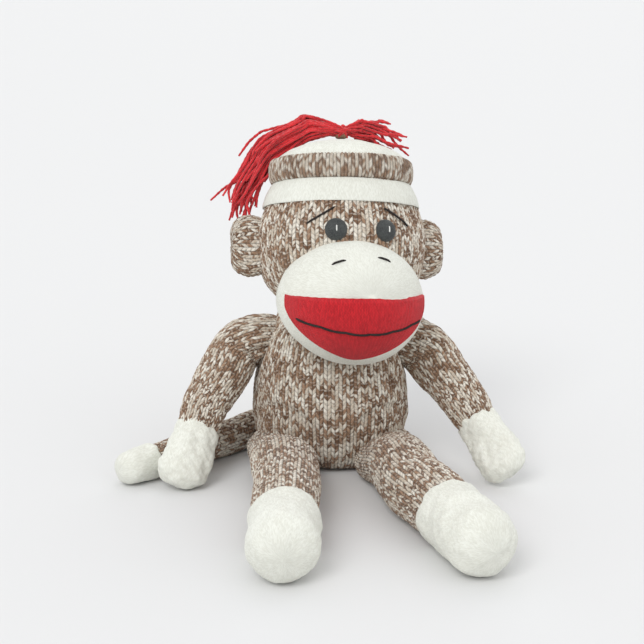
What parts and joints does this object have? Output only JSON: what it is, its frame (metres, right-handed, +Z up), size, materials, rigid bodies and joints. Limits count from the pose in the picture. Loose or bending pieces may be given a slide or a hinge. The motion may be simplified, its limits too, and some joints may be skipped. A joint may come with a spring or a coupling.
{
  "type": "stuffed monkey",
  "caption": "Seated stuffed monkey sewn from marled sock knit, with a white muzzle, red mouth, knitted hat with a red yarn pompom, long limbs and a tail.",
  "frame": {"origin": "middle of the flat seat face under the torso, on the floor", "axes": "+Z up, the monkey looks along -Y, and its own left side is at +X"},
  "size_m": [0.3036, 0.3251, 0.2671],
  "materials": {
    "marl_knit": "matte",
    "white_knit": "matte",
    "red_knit": "matte",
    "black_thread": "matte",
    "black_eye": "satin",
    "white_fibre": "matte",
    "seam_thread": "matte",
    "pellet_cloth": "matte",
    "clear_plastic": "satin"
  },
  "bodies": {
    "torso": {"torso_cover": "marl_knit", "torso_filling": "white_fibre", "seat_pellet_bag": "pellet_cloth", "neck_gather_thread": "seam_thread"},
    "neck": {"neck_stuffing_roll": "white_fibre"},
    "head": {"head_cover": "marl_knit", "head_filling": "white_fibre", "muzzle_cover": "white_knit", "muzzle_filling": "white_fibre", "mouth_patch": "red_knit", "smile_thread": "black_thread", "hat_band": "white_knit", "hat_cuff": "marl_knit", "hat_crown": "white_knit", "left_eye": "black_eye", "left_eye_washer": "clear_plastic", "left_eyebrow_thread": "black_thread", "left_nostril_thread": "black_thread", "left_ear_cover": "marl_knit", "left_ear_filling": "white_fibre", "right_eye": "black_eye", "right_eye_washer": "clear_plastic", "right_eyebrow_thread": "black_thread", "right_nostril_thread": "black_thread", "right_ear_cover": "marl_knit", "right_ear_filling": "white_fibre"},
    "pompom": {"pompom_yarn": "red_knit", "pompom_tie": "seam_thread"},
    "left_upper_arm": {"left_upper_arm_cover": "marl_knit", "left_upper_arm_filling": "white_fibre"},
    "left_forearm": {"left_forearm_cover": "marl_knit", "left_forearm_filling": "white_fibre", "left_hand_cover": "white_knit", "left_hand_filling": "white_fibre"},
    "right_upper_arm": {"right_upper_arm_cover": "marl_knit", "right_upper_arm_filling": "white_fibre"},
    "right_forearm": {"right_forearm_cover": "marl_knit", "right_forearm_filling": "white_fibre", "right_hand_cover": "white_knit", "right_hand_filling": "white_fibre"},
    "left_thigh": {"left_thigh_cover": "marl_knit", "left_thigh_filling": "white_fibre"},
    "left_shin": {"left_shin_cover": "marl_knit", "left_shin_filling": "white_fibre", "left_foot_cover": "white_knit"},
    "right_thigh": {"right_thigh_cover": "marl_knit", "right_thigh_filling": "white_fibre"},
    "right_shin": {"right_shin_cover": "marl_knit", "right_shin_filling": "white_fibre", "right_foot_cover": "white_knit"},
    "tail_base": {"tail_base_cover": "marl_knit", "tail_base_filling": "white_fibre"},
    "tail_end": {"tail_end_cover": "marl_knit", "tail_end_filling": "white_fibre", "tail_tip_cover": "white_knit"}
  },
  "joints": [
    {"name": "neck_turn", "type": "hinge", "parent": "torso", "child": "neck", "pos_m": [0.008, 0.002, 0.115], "axis": [0, 0, 1], "range_deg": [-40, 20]},
    {"name": "neck_nod", "type": "hinge", "parent": "neck", "child": "head", "pos_m": [0.008, 0.002, 0.115], "axis": [0.9703, 0.2419, 0], "range_deg": [-2, 11]},
    {"name": "pompom_spin", "type": "hinge", "parent": "head", "child": "pompom", "pos_m": [0.00779, 0.03973, 0.24254], "axis": [-0.0016, 0.2837, 0.9589], "range_deg": [-100, 3]},
    {"name": "left_shoulder_raise", "type": "hinge", "parent": "torso", "child": "left_upper_arm", "pos_m": [0.068, 0, 0.092], "axis": [0, 1, 0], "range_deg": [-88, 0]},
    {"name": "left_elbow_bend", "type": "hinge", "parent": "left_upper_arm", "child": "left_forearm", "pos_m": [0.09862, -0.02041, 0.05526], "axis": [-0.7291, 0.1195, -0.6739], "range_deg": [-12, 45]},
    {"name": "right_shoulder_raise", "type": "hinge", "parent": "torso", "child": "right_upper_arm", "pos_m": [-0.068, 0, 0.092], "axis": [0, 1, 0], "range_deg": [0, 88]},
    {"name": "right_elbow_bend", "type": "hinge", "parent": "right_upper_arm", "child": "right_forearm", "pos_m": [-0.09328, -0.02427, 0.05358], "axis": [-0.6525, -0.3686, 0.6621], "range_deg": [-2, 45]},
    {"name": "left_hip_swing", "type": "hinge", "parent": "torso", "child": "left_thigh", "pos_m": [0.038, -0.024, 0.0262], "axis": [1, 0, 0], "range_deg": [-10, 90]},
    {"name": "left_knee_bend", "type": "hinge", "parent": "left_thigh", "child": "left_shin", "pos_m": [0.05517, -0.11228, 0.02281], "axis": [0.9397, 0.342, 0], "range_deg": [-15, 75]},
    {"name": "right_hip_swing", "type": "hinge", "parent": "torso", "child": "right_thigh", "pos_m": [-0.038, -0.024, 0.0262], "axis": [1, 0, 0], "range_deg": [-10, 90]},
    {"name": "right_knee_bend", "type": "hinge", "parent": "right_thigh", "child": "right_shin", "pos_m": [-0.03094, -0.11366, 0.02276], "axis": [1, 0, 0], "range_deg": [-15, 75]},
    {"name": "tail_swing", "type": "hinge", "parent": "torso", "child": "tail_base", "pos_m": [-0.044, 0.052, 0.0132], "axis": [0, 0, 1], "range_deg": [-125, 0]},
    {"name": "tail_bend", "type": "hinge", "parent": "tail_base", "child": "tail_end", "pos_m": [-0.088, -0.002, 0.0126], "axis": [0, 0, 1], "range_deg": [-75, 0]}
  ]
}
